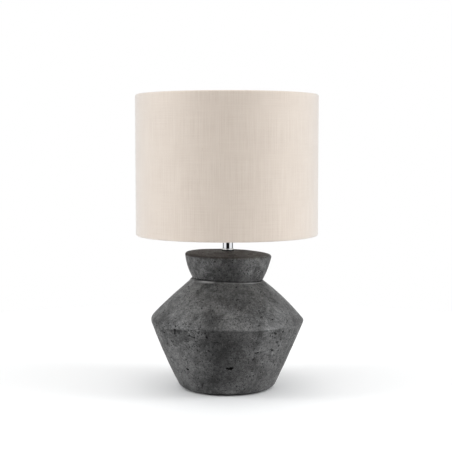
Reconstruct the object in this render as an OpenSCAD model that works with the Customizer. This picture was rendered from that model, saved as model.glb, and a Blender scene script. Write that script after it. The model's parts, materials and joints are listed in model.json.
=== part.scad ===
// Table lamp: hollow stone base, chrome neck, E27 lampholder, candle bulb and a linen drum shade.
// Millimetres, +Z up, origin at the centre of the felt pad's underside.

/* [Base] */
// Height of the cup's top edge above the table
base_h = 222; // [216:1:226]
// Rise of the domed top's middle above that edge
crown = 4.8; // [0:0.2:6]
// Radius of the corner where the foot meets the flank
foot_r = 78; // [74:0.5:84]
// Radius of the ridge, the widest part of the base
ridge_r = 127.5; // [120:0.5:134]
// Height of the ridge
ridge_z = 114; // [106:1:120]
// Radius of the waist under the cup
waist_r = 58; // [55:0.5:64]
// Height of the waist
waist_z = 179; // [174:1:184]
// Radius of the cup's top edge
cup_r = 72; // [68:0.5:76]
// Thickness of the cast wall
wall = 8; // [6:0.5:10]
// Thickness of the felt pad
felt_t = 2; // [1.5:0.5:4]
// Radius of the assembly hole in the floor of the base
floor_hole_r = 40; // [30:1:50]

/* [Cord inlet] */
// Height of the inlet on the back of the base
inlet_z = 20; // [18:1:30]
// Radius of the bore that the mains cord passes through
inlet_bore_r = 3.7; // [3:0.1:4.2]

/* [Neck] */
// Outer radius of the chrome neck tube
neck_r = 8.85; // [8:0.05:9.2]
// Wall of the neck tube
neck_wall = 0.8; // [0.6:0.1:1.2]
// Outer radius of the collar at the foot of the tube
collar_r = 10.2; // [9.6:0.1:11]
// Height of the lampholder's lower end above the table
holder_z = 250; // [248:1:252]

/* [Shade] */
// Outer radius of the shade
shade_r = 150; // [120:1:170]
// Height of the shade
shade_h = 230; // [200:1:240]
// Height of the shade's lower edge above the table
shade_z = 253; // [250:1:255]
// Thickness of the linen
linen_t = 0.8; // [0.6:0.1:1]
// Thickness of the stiff liner behind the linen
liner_t = 0.6; // [0.5:0.1:0.8]
// Radius of the wire in the shade's two rings
wire_r = 1.75; // [1.5:0.05:2]
// Radius of the wire in the three carrier arms
arm_r = 1.8; // [1.5:0.1:2]
// Number of carrier arms
arm_count = 3; // [3:1:4]

/* [Bulb] */
// Largest radius of the bulb's glass
glass_r = 17.5; // [15:0.5:18]
// Length of the bulb from its contact to its tip
bulb_len = 100; // [95:1:105]
// Thickness of the bulb's glass
glass_t = 0.8; // [0.6:0.1:1]
// Number of LED filaments
filament_count = 4; // [2:1:4]

/* [Hidden] */
$fn = 96;
slip = 0.1;                                  // gap between faces that turn or slide on each other
neat = 0.05;                                 // gap of a threaded or pushed fit
arc_steps = 6;                               // segments in each rounded corner
curve_steps = 12;                            // segments in each freely curved stretch

// Base
cast_z = felt_t;                             // underside of the casting
felt_r = foot_r - 8;
crown_z = base_h + crown;                    // level seat of the neck in the middle of the top
roof_z = base_h - 11;                        // inside of the base's top
floor_z = cast_z + wall;
flank_bulge = 1.4;                           // how far each side of the base bows outwards
shoulder_bulge = 2.5;
cup_bulge = 1.7;
top_bulge = 1.2;
neck_seat_r = 14;
flank_lean = atan2(ridge_r - foot_r, ridge_z - cast_z);
inlet_up = (inlet_z - cast_z) / (ridge_z - cast_z);   // how far up the flank the inlet is, from 0 to 1
inlet_y = foot_r + (ridge_r - foot_r) * inlet_up;
inlet_flange_r = 9;
inlet_barrel_r = 6;

// Rod and neck
rod_r = 4.95;
rod_bore_r = 3.4;
rod_hole_r = rod_r + 0.35;
washer_t = 2;
washer_r = 16;
nut_t = 4;
nut_r = 8.1;                                 // across the corners, 14 mm spanner
gasket_t = 1.2;
collar_t = 3;
collar_z = crown_z + gasket_t;
tube_z = collar_z + collar_t;
rod_z = roof_z - washer_t - nut_t - 5;
rod_top = holder_z + 11;

// Lampholder, by height above its lower end
cap_r = 19.5;
cap_h = 21;
cap_bore_r = 17.4;                           // thread that takes the skirt's spigot
cap_ledge = 16;                              // step in the cap that carries the insert
cap_boss_r = 9.6;
skirt_z = holder_z + cap_h + slip;           // underside of the skirt's flange
skirt_flange_r = 21.5;
skirt_flange_t = 1.9;
skirt_top = holder_z + 56;
skirt_r = 19.8;                              // crest of the outer thread
skirt_bore_r = 15.9;
skirt_lip_r = 14.4;
skirt_pitch = 2.5;
insert_z = holder_z + cap_ledge;
insert_top = holder_z + 29.2;
insert_r = 15.5;
insert_flange_t = 1.7;
rivet_y = 10.8;
shell_bore_r = 13.3;                         // crest of the inner thread
shell_r = 14.3;
shell_top = skirt_top - 2.7;
cap_pitch = 3.6;                             // pitch of the E27 thread

// Shade carrier
seat_t = 4.9;
seat_z = skirt_z + skirt_flange_t + slip;    // underside of the lower ring
seat_r = 27;
fitter_z = seat_z + seat_t + slip;
fitter_t = 1.6;
fitter_r = 29;
fitter_bore_r = 21;
clamp_z = fitter_z + fitter_t + slip;
clamp_t = 8;
clamp_r = 27.5;
ring_bore_r = skirt_r + slip;
grip_count = 12;
grip_r = 2.2;

// Shade
roll_r = wire_r + liner_t / 2 + linen_t + neat;     // outer radius of the linen rolled round a ring
roll_x = shade_r - roll_r;                          // centre of that roll
wire_x = shade_r - linen_t - liner_t - wire_r;      // centre of the wire inside it
lower_roll_z = shade_z + roll_r;
upper_roll_z = shade_z + shade_h - roll_r;
arm_z = fitter_z + fitter_t / 2;
weld = 0.4;                                         // how far a welded wire end sinks into its neighbour
arm_start = [fitter_r - weld, arm_z];
arm_end = [wire_x - wire_r * cos(30), lower_roll_z + wire_r * sin(30)];
arm_way = arm_end - arm_start;
arm_bow = (arm_way * arm_way) / (-2 * arm_way[1]);  // radius of the arc that leaves the fitter level
arm_turn = asin(arm_way[0] / arm_bow) + weld / arm_bow * 180 / PI;

// Bulb
bulb_z = holder_z + 32;                      // underside of the centre contact
bulb_cap_z = bulb_z + 6.6;
bulb_cap_top = bulb_z + 27;
bulb_cap_r = 13.1;
bulb_cap_bore_r = 11.8;
bulb_top = bulb_z + bulb_len;
filament_z = bulb_z + 42;
filament_len = 34;

// ---------- outlines ----------

function unit(v) = v / norm(v);
function wrap(a) = (a + 540) % 360 - 180;
function flat(p) = [p[0], p[1]];

// Points of the arc that rounds corner b, which lies between a and c, to radius r.
function corner(a, b, c, r) =
    let (
        u = unit(a - b),
        v = unit(c - b),
        half = acos(u * v) / 2,
        centre = b + unit(u + v) * r / sin(half),
        from = b + u * r / tan(half) - centre,
        to = b + v * r / tan(half) - centre,
        start = atan2(from[1], from[0]),
        turn = wrap(atan2(to[1], to[0]) - start)
    )
    [for (i = [0 : arc_steps])
        centre + r * [cos(start + turn * i / arc_steps), sin(start + turn * i / arc_steps)]];

// A closed outline from points [x, y] or [x, y, radius of that corner].
function rounded(points) =
    let (n = len(points))
    [for (i = [0 : n - 1])
        let (p = points[i])
        each len(p) == 3
            ? corner(flat(points[(i + n - 1) % n]), flat(p), flat(points[(i + 1) % n]), p[2])
            : [p]];

// Points between a and b on a shallow arc that bows out by the given amount,
// to the right of the way from a to b.
function bowed(a, b, bow, steps = 4) =
    let (out = unit([b[1] - a[1], a[0] - b[0]]))
    [for (i = [1 : steps - 1])
        let (t = i / steps)
        a + (b - a) * t + out * 4 * bow * t * (1 - t)];

// Points of a cubic Bezier curve.
function bezier(a, b, c, d, steps = curve_steps) =
    [for (i = [0 : steps])
        let (t = i / steps, s = 1 - t)
        a * s * s * s + b * 3 * s * s * t + c * 3 * s * t * t + d * t * t * t];

// Points of a circular arc.
function arc(centre, r, from, to, steps = curve_steps) =
    [for (i = [0 : steps])
        let (a = from + (to - from) * i / steps)
        centre + r * [cos(a), sin(a)]];

// Crests and roots of a thread's outline, going up from z0 to z1.
function thread(crest, root, pitch, z0, z1) =
    let (turns = floor((z1 - z0) / pitch))
    [for (i = [0 : turns - 1])
        each [[root, z0 + i * pitch], [crest, z0 + (i + 0.35) * pitch],
              [crest, z0 + (i + 0.65) * pitch], [root, z0 + (i + 1) * pitch - 0.01]]];

// A tube or washer standing on z.
module ring(outer, inner, z, h) {
    translate([0, 0, z])
        difference() {
            cylinder(r = outer, h = h);
            translate([0, 0, -1])
                cylinder(r = inner, h = h + 2);
        }
}

// A straight round bar from a to b.
module bar(a, b, r) {
    d = b - a;
    translate(a)
        rotate([0, acos(d[2] / norm(d)), atan2(d[1], d[0])])
            cylinder(r = r, h = norm(d), $fn = 32);
}

// ---------- base ----------

module felt_pad() {
    color("#26241f")
        rotate_extrude()
            polygon(rounded([[0, 0], [felt_r, 0, 0.4], [felt_r, felt_t, 0.3], [0, felt_t]]));
}

module base_outline() {
    foot = [foot_r, cast_z];
    ridge = [ridge_r, ridge_z];
    waist = [waist_r, waist_z];
    rim = [cup_r, base_h];
    neck_seat = [neck_seat_r, crown_z];
    inner_shift = wall / cos(flank_lean);
    polygon(rounded([
        [floor_hole_r, cast_z],
        [foot_r, cast_z, 10],
        each bowed(foot, ridge, flank_bulge),
        [ridge_r, ridge_z, 10],
        each bowed(ridge, waist, shoulder_bulge),
        [waist_r, waist_z, 1.2],
        each bowed(waist, rim, cup_bulge),
        [cup_r, base_h, 4],
        each bowed(rim, neck_seat, top_bulge),
        neck_seat,
        [rod_hole_r, crown_z],
        [rod_hole_r, roof_z],
        [cup_r - wall - 4, roof_z, 5],
        [waist_r - wall, waist_z, 3],
        [ridge_r - inner_shift, ridge_z, 8],
        [foot_r - inner_shift + 3, floor_z, 6],
        [floor_hole_r, floor_z]
    ]));
}

// Puts its children on the inlet's axis: z 0 is the base's surface, and +z points out.
module at_inlet() {
    translate([0, inlet_y, inlet_z])
        rotate([-90 - flank_lean, 0, 0])
            translate([0, 0, 4 * flank_bulge * inlet_up * (1 - inlet_up)])
                children();
}

module base_body() {
    color("#565554")
        difference() {
            rotate_extrude($fn = 180)
                base_outline();
            at_inlet()
                translate([0, 0, -20])
                    cylinder(r = inlet_barrel_r + neat, h = 40);
        }
}

module cord_inlet_bush() {
    seat = 0.35;                             // lifts the flat flange clear of the flank's curve
    flange_t = 2;
    barrel = wall + 2;
    color("#1c1c1c")
        at_inlet()
            rotate_extrude()
                polygon(rounded([
                    [inlet_bore_r, -barrel],
                    [inlet_barrel_r, -barrel, 0.5],
                    [inlet_barrel_r, seat],
                    [inlet_flange_r, seat],
                    [inlet_flange_r, seat + flange_t, 1.2],
                    [inlet_bore_r, seat + flange_t]
                ]));
}

// ---------- rod and neck ----------

module rod_nut() {
    color("#c9b877")
        translate([0, 0, roof_z - washer_t - nut_t])
            difference() {
                cylinder(r = nut_r, h = nut_t, $fn = 6);
                translate([0, 0, -1])
                    cylinder(r = rod_r + neat, h = nut_t + 2);
            }
}

module rod_washer() {
    color("#c4c4c0")
        ring(washer_r, rod_hole_r, roof_z - washer_t, washer_t);
}

module threaded_rod() {
    color("#c9b877")
        rotate_extrude()
            polygon(rounded([
                [rod_bore_r, rod_z], [rod_r, rod_z, 0.5], [rod_r, rod_top, 0.5], [rod_bore_r, rod_top]
            ]));
}

module neck_gasket() {
    color("#141414")
        ring(collar_r - 0.1, rod_hole_r, crown_z, gasket_t);
}

module neck_collar() {
    seat = 0.8;                              // depth of the step that centres the tube
    color("#dcdddf")
        rotate_extrude()
            polygon(rounded([
                [rod_hole_r, collar_z],
                [collar_r, collar_z, 0.4],
                [collar_r, collar_z + 1.6, 0.7],
                [neck_r + 0.1, collar_z + collar_t, 0.05],
                [neck_r - neck_wall - neat, collar_z + collar_t],
                [neck_r - neck_wall - neat, collar_z + collar_t + seat],
                [rod_hole_r, collar_z + collar_t + seat]
            ]));
}

module neck_tube() {
    color("#dcdddf")
        ring(neck_r, neck_r - neck_wall, tube_z, holder_z - tube_z);
}

// ---------- lampholder ----------

module at_lock_screw() {
    translate([0, 0, holder_z + 2.7])
        rotate([0, 90, 0])
            children();
}

module holder_cap() {
    color("#dcdddf")
        translate([0, 0, holder_z])
            difference() {
                rotate_extrude()
                    polygon(rounded([
                        [rod_r + neat, 0],
                        [cap_boss_r, 0, 0.8],
                        [cap_boss_r, 5.2, 3],
                        [cap_r, 14, 7],
                        [cap_r, cap_h, 0.4],
                        [cap_bore_r, cap_h],
                        [cap_bore_r, cap_ledge],
                        [15, cap_ledge],
                        [15, 14.2, 2],
                        [8, 7.6, 1.5],
                        [8, 12],
                        [rod_r + neat, 12]
                    ]));
                translate([0, 0, -holder_z])
                    at_lock_screw()
                        cylinder(r = 1.35, h = 20);
            }
}

module holder_lock_screw() {
    tip = rod_r + neat;
    slot = 0.6;
    color("#8f9092")
        at_lock_screw()
            difference() {
                translate([0, 0, tip])
                    cylinder(r = 1.3, h = cap_boss_r - tip);
                translate([-slot / 2, -2, cap_boss_r - 1])
                    cube([slot, 4, 2]);
            }
}

// Where the two terminal screws stand.
module at_terminals() {
    for (side = [-1, 1])
        translate([9 * side, 0, 0])
            children();
}

// Where the two rivets that fasten the screw shell stand.
module at_rivets() {
    for (side = [-1, 1])
        translate([0, rivet_y * side, 0])
            children();
}

module holder_insert() {
    color("#eceae4")
        difference() {
            rotate_extrude()
                polygon(rounded([
                    [0, insert_z],
                    [cap_bore_r - 0.2, insert_z, 0.3],
                    [cap_bore_r - 0.2, insert_z + insert_flange_t, 0.3],
                    [insert_r, insert_z + insert_flange_t],
                    [insert_r, insert_top, 0.6],
                    [0, insert_top]
                ]));
            at_terminals()
                translate([0, 0, insert_z - 1])
                    cylinder(r = 1.45, h = 6);
            at_rivets()
                translate([0, 0, insert_z - 1])
                    cylinder(r = 1.25, h = insert_top - insert_z + 2);
            translate([-12, -4, insert_top - 1.8])
                cube([24, 8, 3]);
        }
}

module terminal_screws() {
    head_t = 1.8;
    color("#c9b877")
        at_terminals()
            difference() {
                union() {
                    translate([0, 0, insert_z - head_t])
                        cylinder(r = 2.6, h = head_t);
                    translate([0, 0, insert_z])
                        cylinder(r = 1.4, h = 4);
                }
                translate([-3, -0.35, insert_z - head_t - 1])
                    cube([6, 0.7, 1.8]);
            }
}

module centre_contact() {
    z = insert_top - 1.75;
    peak = bulb_z - slip;                    // the bulb presses the free end down to here
    t = 0.6;
    color("#d8b25a")
        translate([0, 3, 0])
            rotate([90, 0, 0])
                linear_extrude(height = 6)
                    polygon([
                        [-11, z], [-5, z], [-1, peak - 1.2], [2, peak - t], [5, peak - 1.6],
                        [5.4, peak - 1.1], [2, peak], [-1.3, peak - t], [-5.3, z + t], [-11, z + t]
                    ]);
}

module holder_shell() {
    z = insert_top + neat;
    floor_t = 0.6;
    color("#cfcac0")
        difference() {
            rotate_extrude()
                polygon([
                    [8, z],
                    [shell_r, z],
                    [shell_r, shell_top],
                    [shell_bore_r + 0.1, shell_top],
                    each thread(shell_bore_r, shell_bore_r + 0.6, -cap_pitch, shell_top - 0.5, z + 4),
                    [shell_bore_r, z + 1],
                    [shell_bore_r, z + floor_t],
                    [8, z + floor_t]
                ]);
            at_rivets()
                translate([0, 0, z - 1])
                    cylinder(r = 1.25, h = floor_t + 2);
        }
}

module shell_rivets() {
    head_t = 0.7;
    floor_top = insert_top + neat + 0.6;
    color("#c9b877")
        at_rivets() {
            translate([0, 0, insert_z - head_t])
                cylinder(r = 2, h = head_t);
            translate([0, 0, insert_z])
                cylinder(r = 1.2, h = floor_top - insert_z);
            translate([0, 0, floor_top])
                cylinder(r = 2, h = head_t);
        }
}

module holder_skirt() {
    spigot_r = cap_bore_r - neat;
    spigot_z = insert_z + insert_flange_t + slip;
    flange_top = skirt_z + skirt_flange_t;
    color("#1d1d1e")
        rotate_extrude()
            polygon(rounded([
                [skirt_bore_r, spigot_z],
                [spigot_r, spigot_z],
                [spigot_r, skirt_z],
                [skirt_flange_r, skirt_z, 0.4],
                [skirt_flange_r, flange_top, 0.4],
                each thread(skirt_r, skirt_r - 0.8, skirt_pitch, flange_top, skirt_top - 2.5),
                [skirt_r - 0.8, skirt_top, 1],
                [skirt_lip_r, skirt_top, 0.5],
                [skirt_lip_r, skirt_top - 2.5],
                [skirt_bore_r, skirt_top - 2.5]
            ]));
}

// ---------- shade rings ----------

// A threaded plastic ring with finger notches round its edge.
module grip_ring(outer, z, h) {
    color("#1d1d1e")
        difference() {
            rotate_extrude()
                polygon(rounded([
                    [ring_bore_r, z], [outer, z, 0.5], [outer, z + h, 0.8], [ring_bore_r, z + h]
                ]));
            for (i = [0 : grip_count - 1])
                rotate([0, 0, i * 360 / grip_count])
                    translate([outer + grip_r - 0.9, 0, z - 1])
                        cylinder(r = grip_r, h = h + 2, $fn = 32);
        }
}

module seat_ring() {
    grip_ring(seat_r, seat_z, seat_t);
}

module clamp_ring() {
    grip_ring(clamp_r, clamp_z, clamp_t);
}

// ---------- shade ----------

module shade_fitter() {
    color("#e9e8e4")
        ring(fitter_r, fitter_bore_r, fitter_z, fitter_t);
}

// Repeats its children for each arm, starting at the back.
module each_arm() {
    for (i = [0 : arm_count - 1])
        rotate([0, 0, 90 + i * 360 / arm_count])
            children();
}

// One arm as a round wire: it leaves the fitter level and curves down to the lower ring.
module arm_wire(r) {
    translate([arm_start[0], 0, arm_z - arm_bow])
        rotate([90, 0, 0])
            rotate([0, 0, 90 - arm_turn])
                rotate_extrude(angle = arm_turn, $fn = 360)
                    translate([arm_bow, 0])
                        circle(r = r, $fn = 32);
}

module shade_arms() {
    color("#e9e8e4")
        each_arm()
            arm_wire(arm_r);
}

module wire_ring(z) {
    color("#e9e8e4")
        rotate_extrude($fn = 180)
            translate([wire_x, z])
                circle(r = wire_r, $fn = 32);
}

module lower_wire_ring() {
    wire_ring(lower_roll_z);
}

module upper_wire_ring() {
    wire_ring(upper_roll_z);
}

// A thin wall standing between the two rolled edges.
module drum(outer, t) {
    rotate_extrude($fn = 180)
        translate([outer - t, lower_roll_z])
            square([t, upper_roll_z - lower_roll_z]);
}

module shade_liner() {
    color("#f4f1ea")
        drum(shade_r - linen_t, liner_t);
}

module shade_linen() {
    color("#d3c6b6")
        drum(shade_r, linen_t);
}

// Linen rolled under the wire and tucked back against the liner, drawn for the lower edge at height 0.
module hem_outline() {
    tuck = 50;                               // where the tucked edge meets the liner, in degrees
    polygon([
        each arc([roll_x, 0], roll_r, 0, -180),
        each arc([wire_x, 0], wire_r + linen_t, 180, tuck),
        each arc([wire_x, 0], wire_r + neat, tuck, 180),
        each arc([roll_x, 0], roll_r - linen_t, -180, 0)
    ]);
}

module lower_hem() {
    color("#cfc2b1")
        difference() {
            translate([0, 0, lower_roll_z])
                rotate_extrude($fn = 180)
                    hem_outline();
            each_arm()
                arm_wire(arm_r + 0.3);
        }
}

module upper_hem() {
    color("#cfc2b1")
        translate([0, 0, upper_roll_z])
            mirror([0, 0, 1])
                rotate_extrude($fn = 180)
                    hem_outline();
}

// ---------- bulb ----------

module bulb_contact() {
    color("#b9bcc0")
        rotate_extrude()
            polygon(rounded([[0, bulb_z], [4.8, bulb_z, 0.6], [4.8, bulb_z + 1.4], [0, bulb_z + 1.4]]));
}

module bulb_insulator() {
    color("#202024")
        rotate_extrude()
            polygon([
                [0, bulb_z + 1.4], [5.6, bulb_z + 1.4], [11.6, bulb_cap_z - 0.4],
                [11.6, bulb_cap_z + 1], [0, bulb_cap_z + 1]
            ]);
}

module bulb_cap() {
    root = bulb_cap_r - 0.8;
    color("#cfd0d2")
        rotate_extrude()
            polygon([
                [bulb_cap_bore_r, bulb_cap_z],
                each thread(bulb_cap_r, root, cap_pitch, bulb_cap_z, bulb_cap_top - 5),
                [root, bulb_cap_top - 5],
                [bulb_cap_r, bulb_cap_top - 3.5],
                [bulb_cap_r, bulb_cap_top],
                [bulb_cap_r - 0.4, bulb_cap_top],
                [bulb_cap_bore_r, bulb_cap_top - 3.8]
            ]);
}

// One side of the glass, from inside the cap to the tip; inset moves it inwards.
function glass_side(inset) =
    let (
        neck_r = bulb_cap_bore_r - 0.1 - inset,
        belly = glass_r - inset,
        belly_z = bulb_z + 52,
        tip = bulb_top - inset,
        tip_r = 3.4 - inset / 2
    )
    [
        [neck_r, bulb_cap_z + 4],
        [neck_r, bulb_cap_top - 3.9],
        each bezier([neck_r + 0.4, bulb_cap_top], [neck_r + 1.2, bulb_cap_top + 9],
                    [belly, belly_z - 14], [belly, belly_z]),
        each bezier([belly, belly_z + 1], [belly, belly_z + 19],
                    [tip_r + 6, tip - 15], [tip_r, tip - 2.8]),
        each bezier([tip_r - 0.2, tip - 2.4], [tip_r - 0.9, tip - 0.8], [tip_r / 2, tip], [0, tip], 5)
    ];

module bulb_glass() {
    color([0.92, 0.95, 0.96, 0.35])
        difference() {
            rotate_extrude()
                polygon([each glass_side(0), [0, bulb_cap_z + 4]]);
            rotate_extrude()
                polygon([each glass_side(glass_t), [0, bulb_cap_z + 3]]);
        }
}

module bulb_stem() {
    color([0.9, 0.93, 0.94, 0.5])
        rotate_extrude()
            polygon(rounded([
                [0, bulb_cap_z + 4.2],
                [10.6, bulb_cap_z + 4.2, 0.8],
                [4, bulb_cap_top + 2, 3],
                [3, filament_z - 7, 1.5],
                [1, filament_z - 5, 0.5],
                [1, filament_z + filament_len - 1],
                [0, filament_z + filament_len - 1]
            ]));
}

// The two ends of filament i.
function filament_foot(i) = let (a = 45 + i * 360 / filament_count)
    [4 * cos(a), 4 * sin(a), filament_z];
function filament_head(i) = let (a = 45 + i * 360 / filament_count)
    [7 * cos(a), 7 * sin(a), filament_z + filament_len - 4];

module bulb_filaments() {
    color("#e8c65a")
        for (i = [0 : filament_count - 1])
            bar(filament_foot(i), filament_head(i), 0.9);
}

module bulb_leads() {
    post_top = [0, 0, filament_z + filament_len - 1.5];
    color("#b9bcc0")
        for (i = [0 : filament_count - 1]) {
            foot = filament_foot(i);
            bar([foot[0] * 0.5, foot[1] * 0.5, filament_z - 8], foot, 0.3);
            bar(post_top + 0.8 * unit([foot[0], foot[1], 0]), filament_head(i), 0.3);
        }
}

// ---------- nodes ----------

felt_pad();
base_body();
cord_inlet_bush();
rod_nut();
rod_washer();
threaded_rod();
neck_gasket();
neck_collar();
neck_tube();
holder_cap();
holder_lock_screw();
holder_insert();
terminal_screws();
centre_contact();
holder_shell();
shell_rivets();
holder_skirt();
seat_ring();
clamp_ring();
shade_fitter();
shade_arms();
lower_wire_ring();
upper_wire_ring();
shade_liner();
shade_linen();
lower_hem();
upper_hem();
bulb_contact();
bulb_insulator();
bulb_cap();
bulb_glass();
bulb_stem();
bulb_filaments();
bulb_leads();
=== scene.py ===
"""Looks of the table lamp: pitted stone base, chrome neck, linen drum shade, lampholder and bulb.

Shapes are worked out in millimetres and turned into metres when a mesh is made.
The lamp's axis is Z, and -Y is the front.
"""

import json
import math
import random
from contextlib import contextmanager

import bmesh
import bpy
import numpy as np
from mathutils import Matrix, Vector, noise


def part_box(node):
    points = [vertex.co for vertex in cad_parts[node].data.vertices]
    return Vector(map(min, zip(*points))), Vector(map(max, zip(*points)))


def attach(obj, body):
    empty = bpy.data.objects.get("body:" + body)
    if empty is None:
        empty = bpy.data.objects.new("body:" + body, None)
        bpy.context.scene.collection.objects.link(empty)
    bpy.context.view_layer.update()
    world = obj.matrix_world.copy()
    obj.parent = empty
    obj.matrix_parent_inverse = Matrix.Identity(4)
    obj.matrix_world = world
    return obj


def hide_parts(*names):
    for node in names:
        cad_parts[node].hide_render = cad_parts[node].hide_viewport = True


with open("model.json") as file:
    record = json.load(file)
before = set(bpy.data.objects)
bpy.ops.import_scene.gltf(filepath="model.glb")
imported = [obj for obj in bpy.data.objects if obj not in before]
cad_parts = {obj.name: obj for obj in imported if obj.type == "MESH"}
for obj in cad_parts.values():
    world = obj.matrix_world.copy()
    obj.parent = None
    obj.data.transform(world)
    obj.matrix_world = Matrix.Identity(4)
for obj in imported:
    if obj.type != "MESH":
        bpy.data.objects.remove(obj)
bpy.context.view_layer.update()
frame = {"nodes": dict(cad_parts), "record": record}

MM = 0.001
TAU = 2 * math.pi
BACK = math.pi / 2          # azimuth of the lamp's back, where seams and the inlet are
FRONT = -math.pi / 2
TINY = 1e-6

# ---------------- sizes from the frame


def reach(node):
    """(outer radius, lowest z, highest z) of a round CAD node, in millimetres."""
    low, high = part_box(node)
    return max(high.x, high.y) / MM, low.z / MM, high.z / MM


LINEN_R, WALL_Z0, WALL_Z1 = reach("shade_linen")
LINER_R = reach("shade_liner")[0]
HEM_Z0 = reach("lower_hem")[1]
HEM_Z1 = reach("upper_hem")[2]
WIRE_OUTER = reach("lower_wire_ring")[0]
WIRE_R = (reach("lower_wire_ring")[2] - reach("lower_wire_ring")[1]) / 2
WIRE_X = WIRE_OUTER - WIRE_R
CAST_Z, CROWN_Z = reach("base_body")[1:]

# ---------------- outlines


def unit(v):
    return v / np.linalg.norm(v)


def polar(r, angle, z):
    return r * math.cos(angle), r * math.sin(angle), z


def corner(a, b, c, radius, steps=6):
    """Points of the arc that rounds corner b, between a and c."""
    a, b, c = (np.array(p[:2], float) for p in (a, b, c))
    u, v = unit(a - b), unit(c - b)
    half = math.acos(max(-1.0, min(1.0, float(u @ v)))) / 2
    centre = b + unit(u + v) * radius / math.sin(half)
    start, end = (b + w * radius / math.tan(half) - centre for w in (u, v))
    first = math.atan2(start[1], start[0])
    turn = (math.atan2(end[1], end[0]) - first + math.pi) % TAU - math.pi
    angles = [first + turn * i / steps for i in range(steps + 1)]
    return [(centre[0] + radius * math.cos(t), centre[1] + radius * math.sin(t)) for t in angles]


def rounded(points, steps=4):
    """A closed outline from points (r, z) or (r, z, radius of that corner)."""
    out = []
    for i, p in enumerate(points):
        if len(p) == 3:
            out += corner(points[i - 1], p, points[(i + 1) % len(points)], p[2], steps)
        else:
            out.append(tuple(p))
    return out


def arc(centre, radius, first, last, steps):
    """Points of a circular arc, angles in degrees."""
    angles = np.radians(np.linspace(first, last, steps + 1))
    return [(centre[0] + radius * math.cos(t), centre[1] + radius * math.sin(t)) for t in angles]


def bezier(a, b, c, d, steps=14):
    out = []
    for i in range(steps + 1):
        t = i / steps
        s = 1 - t
        weights = (s**3, 3 * s * s * t, 3 * s * t * t, t**3)
        out.append(tuple(sum(w * np.array(p, float) for w, p in zip(weights, (a, b, c, d)))))
    return out


def smooth(low, high, x):
    """0 below low, 1 above high, and a smooth rise between."""
    t = min(1.0, max(0.0, (x - low) / (high - low)))
    return t * t * (3 - 2 * t)


# ---------------- meshes

LOOKS = {}                          # every finish by its slot's name
SHARP_EDGE = math.radians(50)       # edges that turn more than this are drawn sharp


def put_in_scene(name, data):
    made = bpy.data.objects.new(name, data)
    bpy.context.scene.collection.objects.link(made)
    return made


def mesh_of(name, verts, faces):
    """A mesh from points in millimetres."""
    mesh = bpy.data.meshes.new(name)
    mesh.from_pydata((np.asarray(verts, float) * MM).tolist(), [], faces)
    return mesh


def add_piece(name, verts, faces, slot, replaces=(), body="base", weighted=True):
    """A smooth piece that rides on a body and has the look of its slot."""
    mesh = mesh_of(name, verts, faces)
    mesh.validate()
    mesh.shade_smooth()
    piece = put_in_scene(name, mesh)
    mesh.materials.append(LOOKS[slot])
    if weighted:
        mesh.set_sharp_from_angle(angle=SHARP_EDGE)
        piece.modifiers.new("even normals", "WEIGHTED_NORMAL").keep_sharp = True
    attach(piece, body)
    if replaces:
        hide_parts(*replaces)
    return piece


@contextmanager
def reworked(mesh):
    """Opens a mesh for bmesh work, and writes the result back."""
    work = bmesh.new()
    work.from_mesh(mesh)
    yield work
    work.to_mesh(mesh)
    work.free()


def sheet_corners(cells):
    """Faces of a sheet with two sides, closed at its edges, as lists of (column, row, side)."""
    faces = []
    for i, j in sorted(cells):
        square = [(i, j), (i + 1, j), (i + 1, j + 1), (i, j + 1)]
        faces.append([(*p, 0) for p in square])
        faces.append([(*square[k], 1) for k in (0, 3, 2, 1)])
        for k, (di, dj) in enumerate(((0, -1), (1, 0), (0, 1), (-1, 0))):
            if (i + di, j + dj) not in cells:
                a, b = square[k], square[(k + 1) % 4]
                faces.append([(*b, 0), (*a, 0), (*a, 1), (*b, 1)])
    return faces


def numbered(corners, cols, rows):
    """The same faces by vertex number, where all of side 0 comes before side 1."""
    return [[i * rows + j + side * cols * rows for i, j, side in face] for face in corners]


def band(lower, upper, columns):
    """Faces between two closed rows of vertices that start at these numbers."""
    return [(lower + c, lower + (c + 1) % columns, upper + (c + 1) % columns, upper + c)
            for c in range(columns)]


def turned(outline, columns, shape=None):
    """Vertices and faces of a closed outline turned about Z.

    shape(angle, r, z), if given, says where a point of the outline goes at that angle.
    """
    verts, rows = [], []
    for r, z in outline:
        pole = r < TINY
        rows.append((len(verts), pole))
        if pole:
            verts.append((0, 0, z))
            continue
        for c in range(columns):
            angle = TAU * c / columns
            new_r, new_z = shape(angle, r, z) if shape else (r, z)
            verts.append(polar(new_r, angle, new_z))
    faces = []
    for (lower, low_pole), (upper, high_pole) in zip(rows, rows[1:] + rows[:1]):
        if low_pole and high_pole:
            continue
        if low_pole:
            faces += [(lower, upper + (c + 1) % columns, upper + c) for c in range(columns)]
        elif high_pole:
            faces += [(lower + c, lower + (c + 1) % columns, upper) for c in range(columns)]
        else:
            faces += band(lower, upper, columns)
    return verts, faces


def lathe(name, outline, slot, replaces=(), body="base", columns=128, shape=None):
    """A turned piece. Its outline runs anticlockwise in (r, z), so that the faces look outwards."""
    verts, faces = turned(outline, columns, shape)
    return add_piece(name, verts, faces, slot, replaces, body)


def helix(crest, root, pitch, z0, z1, flat=0.3):
    """A shape for turned(): crest points between z0 and z1 follow a right-hand screw thread."""

    def shape(angle, r, z):
        if abs(r - crest) > TINY or not z0 - TINY <= z <= z1 + TINY:
            return r, z
        phase = ((z - z0) / pitch - angle / TAU) % 1.0
        wave = 0.5 - 0.5 * math.cos(TAU * phase)
        wave = smooth(0.5 - flat, 0.5 + flat, wave)
        ends = smooth(z0, z0 + pitch * 0.6, z) * smooth(z0, z0 + pitch * 0.6, z1 - (z - z0))
        return root + (crest - root) * wave * ends, z

    return shape


# ---------------- material tools


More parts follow.
